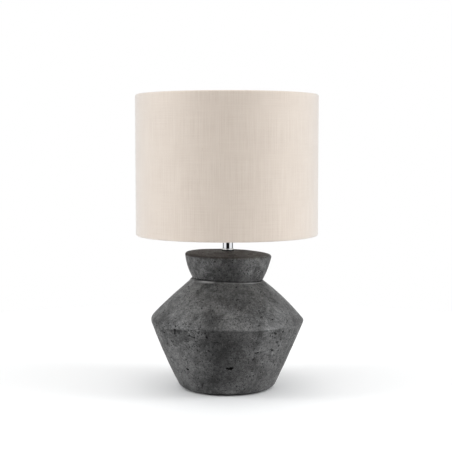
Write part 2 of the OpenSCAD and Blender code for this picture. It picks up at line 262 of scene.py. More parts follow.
def look(name, color, roughness, metallic=0.0, **sockets):
    """Makes a Principled material and keeps it in LOOKS. Returns its node tree and shader."""
    made = bpy.data.materials.new(name)
    made.use_nodes = True
    shader = made.node_tree.nodes["Principled BSDF"]
    shader.inputs["Base Color"].default_value = (*color, 1)
    shader.inputs["Roughness"].default_value = roughness
    shader.inputs["Metallic"].default_value = metallic
    for socket, value in sockets.items():
        shader.inputs[socket.replace("_", " ")].default_value = value
    LOOKS[name] = made
    return made.node_tree, shader


def add_node(tree, kind, inputs=None, **settings):
    """A shader node with its settings, and its inputs set or linked."""
    made = tree.nodes.new("ShaderNode" + kind)
    for key, value in settings.items():
        setattr(made, key, value)
    for key, value in (inputs or {}).items():
        if isinstance(value, bpy.types.NodeSocket):
            tree.links.new(value, made.inputs[key])
        else:
            made.inputs[key].default_value = value
    return made


def feed(tree, shader, color=None, rough=None, relief=None):
    """Links the shader's colour, roughness and normal to whatever is given."""
    for socket, value in (("Base Color", color), ("Roughness", rough), ("Normal", relief)):
        if value is not None:
            tree.links.new(value, shader.inputs[socket])


def object_coords(tree, stretch=None):
    coords = add_node(tree, "TexCoord").outputs["Object"]
    if stretch is None:
        return coords
    return add_node(tree, "Mapping", {"Vector": coords, "Scale": stretch}).outputs["Vector"]


def noise_at(tree, coords, per_metre, detail=3.0, roughness=0.55, distortion=0.0):
    inputs = {
        "Vector": coords, "Scale": per_metre, "Detail": detail,
        "Roughness": roughness, "Distortion": distortion,
    }
    return add_node(tree, "TexNoise", inputs).outputs["Fac"]


def math_of(tree, operation, a, b=0.5, clamp=False):
    return add_node(tree, "Math", {0: a, 1: b}, operation=operation, use_clamp=clamp).outputs[0]


def times(tree, first, *others):
    for other in others:
        first = math_of(tree, "MULTIPLY", first, other)
    return first


def plus(tree, first, *others, clamp=False):
    for other in others:
        first = math_of(tree, "ADD", first, other, clamp)
    return first


def ranged(tree, value, low, high, to_low=0.0, to_high=1.0):
    inputs = {0: value, 1: low, 2: high, 3: to_low, 4: to_high}
    return add_node(tree, "MapRange", inputs, clamp=True).outputs[0]


def mixed(tree, factor, a, b):
    """Colour a mixed with colour b."""
    made = add_node(tree, "Mix", data_type="RGBA")
    for socket, value in ((made.inputs[0], factor), (made.inputs[6], a), (made.inputs[7], b)):
        if isinstance(value, bpy.types.NodeSocket):
            tree.links.new(value, socket)
        else:
            socket.default_value = value if isinstance(value, (int, float)) else (*value, 1)
    return made.outputs[2]


def layered(tree, color, *layers):
    """Colour with layers over it: (value, low, high, share at low, share at high, colour)."""
    for value, low, high, to_low, to_high, over in layers:
        color = mixed(tree, ranged(tree, value, low, high, to_low, to_high), color, over)
    return color


def bumped(tree, *reliefs):
    """A normal from reliefs laid one over another: (height, strength, distance in metres)."""
    normal = None
    for height, strength, distance in reliefs:
        inputs = {"Height": height, "Strength": strength, "Distance": distance}
        if normal is not None:
            inputs["Normal"] = normal
        normal = add_node(tree, "Bump", inputs).outputs["Normal"]
    return normal


def attribute(tree, name):
    return add_node(tree, "Attribute", attribute_name=name).outputs["Fac"]


# ---------------- materials

# Colours of the stone effect: its body and its stains, the painted shade in its pits, creases,
# front and top, and the painted highlight on its lip and ridge.
STONE_DEEP, STONE_BODY = (0.010, 0.0098, 0.010), (0.044, 0.0437, 0.0437)
STONE_PALE, STONE_BLOT = (0.082, 0.0815, 0.081), (0.007, 0.0068, 0.0068)
STONE_WARM, STONE_GRAIN = (0.042, 0.036, 0.034), (0.008, 0.0078, 0.0078)
STONE_SAND, STONE_TOP_DUST_AND_SHADE = (0.13, 0.129, 0.127), (0.056, 0.045, 0.042)
STONE_CLOUD_AND_SHADE, STONE_PIT_SHADE = (0.010, 0.0095, 0.0097), (0.006, 0.006, 0.006)
STONE_HIGHLIGHT = (0.42, 0.415, 0.415)
STONE_IOR = 1.85
TOP_FROM, TOP_TO = 0.2195, 0.2215   # heights in metres between which the cup's top begins: browner with dust and darker with painted shade from the drum


def stone_look():
    """Charcoal stone effect under a thin satin seal: cloudy mottling, grain and small open pits,
    with painted shade in the pits, creases, front middle and top, and painted highlights on the lip
    and ridge.
    """
    tree, shader = look("stone", (0.06, 0.06, 0.06), 0.5)
    coords = object_coords(tree)
    clouds = noise_at(tree, coords, 24, 5, 0.62, 0.4)
    patches = noise_at(tree, coords, 85, 4, 0.65, 0.3)
    blotches = noise_at(tree, coords, 210, 3, 0.6)
    grain = noise_at(tree, coords, 520, 3, 0.65)
    sand = noise_at(tree, coords, 1500, 2, 0.7)
    warmth = noise_at(tree, coords, 14, 3, 0.5)
    height = add_node(tree, "SeparateXYZ", {0: coords}).outputs[2]
    top = ranged(tree, height, TOP_FROM, TOP_TO)
    cloud_and_shade, hollow = attribute(tree, "cloud_and_shade"), attribute(tree, "hollow")

    cells = add_node(tree, "TexVoronoi", {"Vector": coords, "Scale": 230.0, "Randomness": 1.0})
    crowd = ranged(tree, noise_at(tree, coords, 45, 2), 0.44, 0.60)
    dots = times(tree, ranged(tree, cells.outputs["Distance"], 0.16, 0.30, 1.0, 0.0), crowd)
    painted_pit_crease_shade = math_of(tree, "MAXIMUM", times(tree, dots, 0.85), hollow)

    color = mixed(tree, ranged(tree, clouds, 0.40, 0.60), STONE_DEEP, STONE_BODY)
    color = layered(
        tree, color,
        (patches, 0.48, 0.61, 0.0, 0.85, STONE_PALE), (blotches, 0.41, 0.52, 0.9, 0.0, STONE_BLOT),
        (warmth, 0.5, 0.66, 0.0, 0.45, STONE_WARM), (grain, 0.42, 0.57, 0.9, 0.0, STONE_GRAIN),
        (sand, 0.52, 0.68, 0.0, 0.6, STONE_SAND))
    # Painted shade: the cup's top is darkened as if the drum shadows it, with a brown dust tint as
    # well.
    color = mixed(tree, times(tree, top, 0.72), color, STONE_TOP_DUST_AND_SHADE)
    # Dark clouds: random stains, and painted shade down the front's middle and under the cup.
    color = mixed(tree, times(tree, cloud_and_shade, 0.5), color, STONE_CLOUD_AND_SHADE)
    # Painted shade in the pits, the scored mould line and the waist crease.
    color = mixed(tree, painted_pit_crease_shade, color, STONE_PIT_SHADE)
    # Painted highlight along the lip under the cup and on the ridge right of the front.
    color = mixed(tree, attribute(tree, "painted_highlight"), color, STONE_HIGHLIGHT)

    rough = ranged(tree, patches, 0.40, 0.60, 0.64, 0.47)
    rough = plus(tree, rough, ranged(tree, grain, 0.35, 0.65, 0.08, -0.04))
    rough = plus(tree, rough, times(tree, painted_pit_crease_shade, 0.35), clamp=True)
    # The seal's gloss is weaker in the dark parts and on the top, so it varies over the surface.
    gloss = times(tree, *(ranged(tree, *spread) for spread in (
        (clouds, 0.40, 0.58, 0.45, 1.0), (blotches, 0.40, 0.54, 0.72, 1.0),
        (grain, 0.40, 0.56, 0.7, 1.0), (top, 0.0, 1.0, 1.0, 0.15),
        (cloud_and_shade, 0.0, 1.0, 1.0, 0.6), (painted_pit_crease_shade, 0.0, 1.0, 1.0, 0.1))))
    tree.links.new(gloss, shader.inputs["Specular IOR Level"])
    shader.inputs["IOR"].default_value = STONE_IOR
    relief = bumped(tree, (clouds, 0.4, 0.0014), (patches, 0.5, 0.0012), (grain, 0.6, 0.0004),
                    (sand, 0.4, 0.00015), (dots, 0.9, -0.0006))
    feed(tree, shader, color, rough, relief)


WARP_PER_M, WEFT_PER_M = 1750.0, 1550.0
THREAD_WANDER = 0.0006              # metres that the threads stray from straight
LINEN_DIM, LINEN_BODY = (0.690, 0.578, 0.486), (0.730, 0.618, 0.522)
LINEN_PALE, LINEN_SHADOW = (0.840, 0.745, 0.650), (0.640, 0.530, 0.440)
LINEN_SLUB, LINEN_FLECK = (0.50, 0.405, 0.325), (0.52, 0.43, 0.35)
LINEN_GAP = (0.42, 0.34, 0.27)


def weave_heights(tree, coords):
    """Height of a plain weave: warp along v and weft along u, in a map measured in metres."""
    split = add_node(tree, "SeparateXYZ", {0: coords})
    stray = times(tree, noise_at(tree, coords, 160, 2), THREAD_WANDER)
    threads = [
        math_of(tree, "SINE", times(tree, plus(tree, split.outputs[i], stray), math.pi * per_m))
        for i, per_m in enumerate((WARP_PER_M, WEFT_PER_M))]
    ribs = plus(tree, *(math_of(tree, "ABSOLUTE", thread) for thread in threads))
    return plus(tree, times(tree, *threads, 0.5), ribs)


def linen_look():
    """Natural linen: plain weave, uneven warp streaks, fainter weft lines and slubs."""
    tree, shader = look("linen", (0.62, 0.53, 0.45), 0.6, Sheen_Weight=1.0, Sheen_Roughness=0.5,
                        Specular_IOR_Level=1.0)
    coords = add_node(tree, "UVMap", uv_map="cloth").outputs[0]

    def streaks(across, along, detail=2.0):
        scaled = add_node(tree, "Mapping", {"Vector": coords, "Scale": (across, along, 1)})
        return noise_at(tree, scaled.outputs[0], 1.0, detail, 0.6)

    warp = streaks(900, 14)
    slubs = ranged(tree, streaks(520, 90, 1.0), 0.72, 0.80, 0.0, 0.32)
    weave = weave_heights(tree, coords)
    clouds = noise_at(tree, coords, 28, 3)
    color = mixed(tree, ranged(tree, clouds, 0.35, 0.65), LINEN_DIM, LINEN_BODY)
    color = layered(
        tree, color,
        (warp, 0.38, 0.62, 0.0, 0.46, LINEN_PALE),
        (streaks(230, 5), 0.35, 0.65, 0.14, 0.0, LINEN_SHADOW),
        (streaks(16, 900), 0.40, 0.66, 0.0, 0.26, LINEN_PALE))
    color = mixed(tree, slubs, color, LINEN_SLUB)
    color = layered(
        tree, color,
        (streaks(110, 600, 1.0), 0.73, 0.81, 0.0, 0.30, LINEN_FLECK),
        (weave, -0.2, 0.8, 0.30, 0.0, LINEN_GAP))
    relief = bumped(tree, (weave, 0.5, 0.00012), (warp, 0.4, 0.0002), (slubs, 0.6, 0.0002))
    feed(tree, shader, color, relief=relief)


def liner_look():
    """White laminated sheet with a faint orange-peel skin."""
    tree, shader = look("liner", (0.86, 0.84, 0.79), 0.45)
    coords = object_coords(tree)
    clouds = ranged(tree, noise_at(tree, coords, 18, 3), 0.3, 0.7)
    peel = noise_at(tree, coords, 900, 2)
    feed(tree, shader, mixed(tree, clouds, (0.84, 0.815, 0.76), (0.88, 0.865, 0.82)),
         ranged(tree, peel, 0.3, 0.7, 0.40, 0.55), bumped(tree, (peel, 0.25, 0.0001)))


def metal_look(name, color, roughness, wear=0.5, brushed=None):
    """Bare or plated metal: fine marks that follow the brushed stretch, and handling marks."""
    tree, shader = look(name, color, roughness, 1.0)
    marks = noise_at(tree, object_coords(tree, brushed), 700, 3, 0.6)
    clouds = noise_at(tree, object_coords(tree), 90, 3)
    rough = times(tree, ranged(tree, marks, 0.3, 0.7, 0.7, 1.4), roughness)
    rough = plus(tree, rough, ranged(tree, clouds, 0.4, 0.7, 0.0, 0.06 * wear))
    darker = tuple(c * (1 - 0.25 * wear) for c in color)
    shade = mixed(tree, ranged(tree, clouds, 0.35, 0.7, 0.0, 0.6), color, darker)
    ridge_highlight = bumped(tree, (marks, 0.12 * wear, 0.00005)) if wear > 0.3 else None
    feed(tree, shader, shade, rough, ridge_highlight)


def plain_look(name, color, lighter, roughness, grain_per_metre, grain_depth, **sockets):
    """Moulded, painted or fired surface: slight colour clouds and a fine grain."""
    tree, shader = look(name, color, roughness, **sockets)
    coords = object_coords(tree)
    clouds = ranged(tree, noise_at(tree, coords, 130, 4), 0.3, 0.7)
    grain = noise_at(tree, coords, grain_per_metre, 2)
    rough = ranged(tree, grain, 0.3, 0.7, roughness * 0.85, min(1.0, roughness * 1.15))
    feed(tree, shader, mixed(tree, clouds, color, lighter), rough,
         bumped(tree, (grain, 0.4, grain_depth)))


def glass_look():
    """Clear blown glass with the faintest ripple."""
    tree, shader = look("clear_glass", (0.97, 0.985, 0.985), 0.0, Transmission_Weight=1.0, IOR=1.5)
    ripple = noise_at(tree, object_coords(tree), 60, 2)
    feed(tree, shader, relief=bumped(tree, (ripple, 0.08, 0.0004)))


stone_look()
linen_look()
liner_look()
# Metals: name, colour, roughness, wear and the stretch of the brushing.
metal_look("chrome", (0.80, 0.81, 0.83), 0.05, 0.25)
metal_look("zinc", (0.62, 0.63, 0.64), 0.34, 1.0)
metal_look("zinc_yellow", (0.62, 0.54, 0.33), 0.34, 1.0)
metal_look("brass", (0.76, 0.58, 0.28), 0.24, 0.8)
metal_look("nickel", (0.70, 0.69, 0.66), 0.22, 0.7, (1, 1, 8))
# The rest: name, colour, lighter colour, roughness, grain per metre and its depth in metres.
plain_look("rubber", (0.006, 0.006, 0.006), (0.012, 0.0115, 0.011), 0.75, 1600, 0.0001,
           Specular_IOR_Level=0.2)
plain_look("felt", (0.018, 0.018, 0.018), (0.040, 0.039, 0.038), 1.0, 2600, 0.0005,
           Sheen_Weight=0.4)
plain_look("black_plastic", (0.012, 0.012, 0.013), (0.020, 0.020, 0.021), 0.32, 2200, 0.00003)
plain_look("black_glass", (0.010, 0.010, 0.014), (0.022, 0.022, 0.028), 0.12, 900, 0.00003)
plain_look("porcelain", (0.80, 0.79, 0.75), (0.86, 0.85, 0.81), 0.16, 700, 0.00004)
plain_look("white_metal", (0.78, 0.77, 0.74), (0.83, 0.82, 0.79), 0.42, 1500, 0.00006)
plain_look("phosphor", (0.80, 0.50, 0.10), (0.88, 0.62, 0.18), 0.6, 3000, 0.00008)
glass_look()

# ---------------- stone base

FOOT = (78.0, CAST_Z)
RIDGE = (127.5, 114.0)
WAIST = (58.0, 179.0)
RIM = (72.0, 222.0)
NECK_SEAT = (14.0, CROWN_Z)         # level seat of the neck in the middle of the domed top
ROOF_Z = RIM[1] - 11                # inside of the top
ROD_HOLE_R = 5.3
FLOOR_HOLE_R = 40.0
FOOT_FLAT_R = 58.0                  # radius of the flat that the casting stands on
FOOT_ROUND, WAIST_ROUND, RIM_ROUND = 10.0, 0.3, 3.6
INNER_WALL = 8.0
COLUMNS = 330
# How far each face of the casting bulges over its chord.
FLANK_BULGE, SHOULDER_BULGE, CUP_BULGE, DOME_BULGE = 1.4, 2.5, 1.7, 1.2
COARSE, FINE = 2.3, 0.6             # spacing of the outline's points

# What is crooked about the cast.
CUP_TILT = math.radians(2.0)        # the cup leans to the right
CUP_SHIFT = 0.7                     # and stands a little to the right
RIDGE_DIP = 1.7                     # the ridge is lower on the right
LINE_DROP, LINE_MOST = 13.7, 7.0    # how the mould line drops away from the front, and its most
SCORE, LIP = 0.5, 0.5               # depth of the mould line, and height of the lip under the cup
# Dark clouds, partly random stains and partly painted shade down the front's middle and under the
# cup, as (azimuth from the front, height, spread, rise, strength).
DARK_CLOUDS_AND_SHADE = [
    (0.10, 198, 0.20, 18, 0.9), (-0.10, 168, 0.45, 9, 0.8), (0.0, 84, 0.34, 14, 0.35),
    (-0.53, 100, 0.14, 9, 0.7), (-0.34, 25, 0.40, 12, 0.7), (0.45, 22, 0.25, 10, 0.6),
    (-0.2, 152, 0.6, 14, 0.9), (0.0, 126, 0.6, 12, 0.6), (2.2, 90, 0.5, 18, 0.8),
    (-2.3, 60, 0.5, 20, 0.8), (2.9, 165, 0.5, 12, 0.7), (-1.6, 150, 0.3, 12, 0.5),
    (1.5, 40, 0.3, 14, 0.6),
]
# Places crowded with pits, as (azimuth from the front, height, spread, rise, count).
CROWDS = [
    (-0.62, 106, 0.30, 9, 46), (-0.95, 92, 0.25, 12, 22), (0.62, 109, 0.16, 5, 20),
    (0.30, 60, 0.45, 22, 30), (2.4, 100, 0.5, 14, 40), (-2.5, 70, 0.5, 20, 40),
]
LONE_PITS, SCRATCHES = 380, 14
BIG_PIT = (0.05, 50.0, 6.4, 3.0, 4.6, 0.10)     # azimuth, height, half sizes, depth and turn
PITS_FROM, PITS_TO = 10, 216                    # heights between which pits lie


def bow(a, b, bulge, ts):
    """Points at the shares ts of the way from a to b, on an arc that bulges to the right."""
    a, b = np.array(a, float), np.array(b, float)
    out = unit(np.array([b[1] - a[1], a[0] - b[0]]))
    return [tuple(a + (b - a) * t + out * 4 * bulge * t * (1 - t)) for t in ts]


def shares(length, spacing, first, last):
    """Even steps of about the spacing between two shares of a length."""
    steps = max(1, round(length * (last - first) / spacing))
    return [first + (last - first) * i / steps for i in range(steps + 1)]


def base_outline(angle):
    """The casting's closed outline at one azimuth: the ridge is crisper in front and right."""
    ridge_round = 8.0 - 4.5 * math.cos(angle) + 3.0 * math.sin(angle)
    slope = math.atan2(RIDGE[0] - FOOT[0], RIDGE[1] - FOOT[1])
    inset = INNER_WALL / math.cos(slope)
    neck_in, ridge_in, foot_in = WAIST[0] - INNER_WALL, RIDGE[0] - inset - 2, FOOT[0] - inset
    ground, floor_z = (FOOT_FLAT_R, CAST_Z), CAST_Z + INNER_WALL
    flank = bow(FOOT, RIDGE, FLANK_BULGE, shares(122, COARSE, 0.075, 0.90))
    shoulder = bow(RIDGE, WAIST, SHOULDER_BULGE,
                   shares(95, COARSE, 0.12, 0.93) + shares(95, FINE, 0.94, 0.994))
    cup = bow(WAIST, RIM, CUP_BULGE, shares(45, FINE, 0.012, 0.07) + shares(45, 2.2, 0.10, 0.90))
    dome = bow(RIM, NECK_SEAT, DOME_BULGE, shares(58, 2.2, 0.10, 1.0))
    return [
        (FLOOR_HOLE_R, CAST_Z), ground, *corner(ground, FOOT, flank[1], FOOT_ROUND, 8), *flank[1:],
        *corner(flank[-1], RIDGE, shoulder[0], ridge_round, 12), *shoulder,
        *corner(shoulder[-1], WAIST, cup[0], WAIST_ROUND, 2), *cup,
        *corner(cup[-1], RIM, dome[0], RIM_ROUND, 7), *dome,
        (11.5, CROWN_Z), (9.0, CROWN_Z), (ROD_HOLE_R, CROWN_Z),
        *[(r, ROOF_Z) for r in (ROD_HOLE_R, 25.0, 45.0, 58.0)],
        (neck_in, WAIST[1] + 6), (neck_in, WAIST[1]), (85.0, 150.0),
        (ridge_in, RIDGE[1] + 3), (ridge_in, RIDGE[1] - 4), (90.0, 60.0),
        (foot_in + 5, floor_z + 4), (foot_in, floor_z), (FLOOR_HOLE_R, floor_z)]


def surface_point(azimuth, z):
    """The outer surface's point at an azimuth and height, before it is roughened."""
    radii, heights = zip(FOOT, RIDGE, WAIST, RIM)
    return np.array(polar(np.interp(z, heights, radii), azimuth, z))


def choose_pits(rng):
    """Open pits as (place, half width, half height, depth, turn).

    There is one big pit in front, then crowds, lone pits and long scratches.
    """
    pits = [(surface_point(FRONT + BIG_PIT[0], BIG_PIT[1]), *BIG_PIT[2:])]
    for turn, height, spread, rise, count in CROWDS:
        for _ in range(count):
            z = min(PITS_TO, max(PITS_FROM, rng.gauss(height, rise)))
            place = surface_point(FRONT + rng.gauss(turn, spread), z)
            size = min(1.9, rng.lognormvariate(-0.38, 0.42))
            half_w, turned_by = size * rng.uniform(1.0, 1.9), rng.uniform(-0.5, 0.5)
            pits.append((place, half_w, size, size * 1.1, turned_by))
    for _ in range(LONE_PITS):
        place = surface_point(rng.uniform(0, TAU), rng.uniform(PITS_FROM, PITS_TO))
        size = min(1.5, rng.lognormvariate(-0.55, 0.38))
        pits.append((place, size * rng.uniform(1.0, 1.8), size, size, rng.uniform(-0.6, 0.6)))
    for _ in range(SCRATCHES):
        place = surface_point(rng.uniform(0, TAU), rng.uniform(14, 100))
        pits.append((place, rng.uniform(4, 9), 0.55, 0.5, rng.uniform(-1.4, 1.4)))
    return pits


def pit_fields(points, normals, pits, margin=1.0):
    """Each point's depth in a pit in millimetres, and how much it is in one, from 0 to 1."""
    depth = np.zeros(len(points))
    share = np.zeros(len(points))
    for place, half_w, half_h, deep, turn in pits:
        reach_mm = max(half_w, half_h) * margin * 1.3 + 1
        near = np.nonzero(np.abs(points - place).max(axis=1) < reach_mm + 6)[0]
        if not len(near):
            continue
        level = unit(np.array([-place[1], place[0], 0.0]))
        up = np.cross(unit(normals[near].mean(axis=0)), level)
        away = points[near] - place
        x, y = away @ level, away @ up
        along = x * math.cos(turn) + y * math.sin(turn)
        across = y * math.cos(turn) - x * math.sin(turn)
        round_pit = np.arctan2(y, x)
        edge = 1 + 0.16 * np.sin(3 * round_pit + place[0]) + 0.10 * np.sin(5 * round_pit + place[2])
        rho = np.sqrt((along / half_w) ** 2 + (across / half_h) ** 2) / edge / margin
        inside = np.clip(1 - rho**2, 0, 1)
        depth[near] = np.maximum(depth[near], deep * inside**0.8)
        share[near] = np.maximum(share[near], np.clip(inside * 3.0, 0, 1))
    return depth, share


def gathered(items, field):
    """A vector field of a mesh's vertices or faces as an array."""
    found = np.empty(len(items) * 3, np.float32)
    items.foreach_get(field, found)
    return found.reshape(-1, 3).astype(float)


def refine(mesh, marked_faces, cuts):
    """Cuts the marked faces into a finer grid."""
    with reworked(mesh) as work:
        work.faces.ensure_lookup_table()
        edges = {e for i in marked_faces for e in work.faces[i].edges}
        bmesh.ops.subdivide_edges(work, edges=list(edges), cuts=cuts, use_grid_fill=True)
        bmesh.ops.triangulate(work, faces=[f for f in work.faces if len(f.verts) > 4])


def store(mesh, name, values):
    made = mesh.attributes.new(name, "FLOAT", "POINT")
    made.data.foreach_set("value", np.asarray(values, np.float32))


def noise_of(points, size_mm, seed):
    """Smooth noise from -1 to 1 at each point, with features of about that size."""
    shift = Vector((seed * 13.7, seed * 7.1, seed * 3.3))
    return np.array([noise.noise(Vector(p) / size_mm + shift) for p in points])


def bell(offset, width):
    """1 at no offset, falling to 0 over about twice the width."""
    return np.exp(-((offset / width) ** 2))


def cast_mesh():
    """The casting before it is roughened: its outline at every azimuth, joined up."""
    columns = []
    for c in range(COLUMNS):
        angle = TAU * c / COLUMNS
        r, z = np.array(base_outline(angle)).T
        columns.append(np.stack(polar(r, angle, z), axis=-1))
    verts = np.stack(columns, axis=1)
    faces = []
    for i in range(len(verts)):
        faces += band(i * COLUMNS, (i + 1) % len(verts) * COLUMNS, COLUMNS)
    return verts.reshape(-1, 3), faces


def lean_cup(points, r):
    """Turns the cup about Y. The turn grows above the waist and fades towards the neck's seat."""
    lean = np.clip((points[:, 2] - (WAIST[1] - 3)) / 6, 0, 1)
    lean = lean * lean * (3 - 2 * lean) * (r > WAIST[0] - 4)
    lean = np.where(points[:, 2] > RIM[1] - 6, np.clip((r - 12) / 22, 0, 1), lean)
    lean = np.where((points[:, 2] < ROOF_Z + 2) & (r < WAIST[0] - 4), 0, lean)
    turn = CUP_TILT * lean
    x0, z0 = points[:, 0].copy(), points[:, 2] - WAIST[1]
    points[:, 0] = x0 * np.cos(turn) + z0 * np.sin(turn) + CUP_SHIFT * lean
    points[:, 2] = WAIST[1] + z0 * np.cos(turn) - x0 * np.sin(turn)


def stone_base():
    piece = add_piece("stone_base", *cast_mesh(), "stone", ["base_body"], weighted=False)
    mesh = piece.data
    pits = choose_pits(random.Random(20))
    _, share = pit_fields(gathered(mesh.polygons, "center") / MM, gathered(mesh.polygons, "normal"),
                          pits, margin=1.7)
    refine(mesh, np.nonzero(share > 0)[0], 3)

    points, normals = gathered(mesh.vertices, "co") / MM, gathered(mesh.vertices, "normal")
    r = np.hypot(points[:, 0], points[:, 1])
    azimuth = np.arctan2(points[:, 1], points[:, 0])
    off_front = (azimuth - FRONT + math.pi) % TAU - math.pi
    z = points[:, 2]                # a view: it follows the points as they move
    level = np.c_[r * np.cos(azimuth), r * np.sin(azimuth), 0 * z]
    outer = normals[:, 0] * points[:, 0] + normals[:, 1] * points[:, 1] > 0
    top = (z > RIM[1] - 0.5) & (r > 11)
    outer = (outer & (z > CAST_Z + 0.01) & (r > 54)) | top
    free = outer * np.clip((z - CAST_Z) / 4, 0, 1) * np.where(top, np.clip((r - 13) / 10, 0, 1), 1)

    depth, share = pit_fields(points, normals, pits)
    swell = sum(height * noise_of(points, size_mm, seed)
                for height, size_mm, seed in ((0.55, 45, 1), (0.20, 14, 2), (0.07, 4, 3)))
    # A shallow scored line where the mould's halves met on the ridge, fainter here and there.
    patchy = np.clip(0.5 + 1.4 * noise_of(level, 34, 4), 0, 1)
    line_z = RIDGE[1] - 1.8 - np.minimum(LINE_MOST, LINE_DROP * (1 - np.cos(off_front)))
    score = bell(z - line_z, 0.9) * patchy * (r > 110)
    # A thin lip left under the cup, pale in random places along it and with a painted highlight
    # left and right of the front.
    lip = bell(z - (WAIST[1] - 1.9), 0.9) * (z < WAIST[1]) * (r > 50)
    waist_crease = bell(z - (WAIST[1] + 0.3), 1.0) * (r > 50)
    points += normals * ((swell - SCORE * score + LIP * lip - depth) * free)[:, None]
    # The ridge dips to the right, and the waist rises in front and on the left.
    z -= RIDGE_DIP * np.cos(azimuth) * bell(z - RIDGE[1], 22) * free
    waist_rise = 1.0 + 2.0 * np.clip(-np.sin(azimuth), 0, 1) ** 2 - 0.7 * np.cos(azimuth)
    z += waist_rise * bell(z - WAIST[1], 14) * free
    lean_cup(points, r)
    mesh.vertices.foreach_set("co", (points * MM).astype(np.float32).ravel())

    unrolled = np.c_[azimuth * 80, z, 0 * z]
    uneven = 0.75 + 0.9 * noise_of(unrolled, 16, 6) + 0.5 * noise_of(unrolled, 6, 7)
    # Dark clouds: random stains round the back and sides, and painted shade down the front's middle
    # and under the cup.
    cloud_and_shade = np.zeros(len(z))
    for turn, height, spread, rise, strength in DARK_CLOUDS_AND_SHADE:
        away = (off_front - turn + math.pi) % TAU - math.pi
        cloud_and_shade = np.maximum(cloud_and_shade, strength * bell(away, spread) * bell(z - height, rise))
    # Painted highlights: a pale patch on the ridge right of the front, and along the lip left and
    # right of the front over random pale places.
    ridge_highlight = bell(off_front - 0.56, 0.26) * bell(z - 116, 5.0) * (z > RIDGE[1] - 1.5)
    lip_highlight = np.clip(0.1 + 1.5 * noise_of(level, 26, 5), 0, 1)
    for turn, spread in ((-0.60, 0.22), (0.72, 0.30)):
        lip_highlight = np.maximum(lip_highlight, bell(azimuth - FRONT - turn, spread))
    painted_highlight = lip * lip_highlight * 0.9 + 0.16 * ridge_highlight * np.clip(uneven, 0, 1)
    # Painted shade in the pits, the scored line and the waist crease.
    for name, values in (("hollow", share * 0.95 + 0.6 * score + 0.65 * waist_crease),
                         ("painted_highlight", painted_highlight), ("cloud_and_shade", cloud_and_shade * uneven)):
        store(mesh, name, np.clip(values, 0, 1) * outer)
    mesh.update()
    return piece


base = stone_base()

# ---------------- cord inlet


def place_at_inlet(piece):
    """Moves a piece's origin to the base's surface at the inlet, and its +z to point out."""
    mount = next(m for m in frame["record"]["mounts"] if m["name"] == "cord_inlet")
    turn = Vector((0, 0, 1)).rotation_difference(Vector(mount["axis"]))
    piece.data.transform(turn.to_matrix().to_4x4())
    for vertex in piece.data.vertices:
        vertex.co += Vector(mount["pos_m"])
    piece.data.update()


def bored(piece, cutter):
    """Cuts the cutter's shape out of the piece, and removes the cutter."""
    cut = piece.modifiers.new("bore", "BOOLEAN")
    cut.object, cut.operation, cut.solver = cutter, "DIFFERENCE", "EXACT"
    bpy.context.view_layer.objects.active = piece
    with bpy.context.temp_override(object=piece, active_object=piece, selected_objects=[piece]):
        bpy.ops.object.modifier_apply(modifier=cut.name)
    bpy.data.objects.remove(cutter)


def cutter_of(outline, columns=64):
    return put_in_scene("cutter", mesh_of("cutter", *turned(outline, columns)))


inlet_cutter = cutter_of([(0, -20), (6.05, -20), (6.05, 20), (0, 20)])
place_at_inlet(inlet_cutter)
bored(base, inlet_cutter)

BUSH_BORE = 3.7
bush = lathe("cord_bush", rounded([
    (BUSH_BORE, -10.0, 0.4), (6.0, -10.0, 0.6), (6.0, 0.35), (9.0, 0.35, 0.3),
    (9.0, 1.5, 1.0), (7.2, 2.35, 1.2), (4.6, 2.30, 0.5), (BUSH_BORE, 1.6, 0.5)], 5),
    "rubber", ["cord_inlet_bush"], columns=96)
place_at_inlet(bush)

# ---------------- felt pad


def felt_pad():
    low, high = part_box("felt_pad")
    radius, thick = high.x / MM, high.z / MM
    outline = [(0, 0)] + [(r, 0) for r in np.linspace(6, radius - 1.2, 18)]
    outline += [(radius - 0.4, 0.15), (radius, 0.6), (radius, thick - 0.5),
                (radius - 0.3, thick - 0.02)]
    outline += [(r, thick) for r in np.linspace(radius - 1.2, 6, 18)] + [(0, thick)]

    def fuzz(angle, r, z):
        wave = noise.noise(Vector((r * math.cos(angle) / 5, r * math.sin(angle) / 5, z)))
        if r > radius - 1.3:
            return r + 0.22 * wave, z
        return r, z + (0.02 + 0.12 * abs(wave) if z < thick / 2 else -0.10 * abs(wave))

    pad = lathe("felt_underside", outline, "felt", ["felt_pad"], columns=180, shape=fuzz)


felt_pad()

# ---------------- neck

TUBE_R, TUBE_Z0, TUBE_Z1 = reach("neck_tube")
COLLAR_R, COLLAR_Z0, _ = reach("neck_collar")
GASKET_R, GASKET_Z0, GASKET_Z1 = reach("neck_gasket")
ROD_R, ROD_Z0, ROD_Z1 = reach("threaded_rod")
NECK_SHIFT = 1.6                    # the loose sleeve stands a little to the right on its rod


NECK_BORE = 7.2                     # wide enough for the rod to stand off-centre in it
SLEEVE_WALL = 0.8


def neck_piece(name, points, steps, slot, stands_for, columns):
    """A turned piece of the neck, which stands a little to the right of the axis."""
    piece = lathe(name, rounded(points, steps), slot, [stands_for], columns=columns)
    for vertex in piece.data.vertices:
        vertex.co.x += NECK_SHIFT * MM


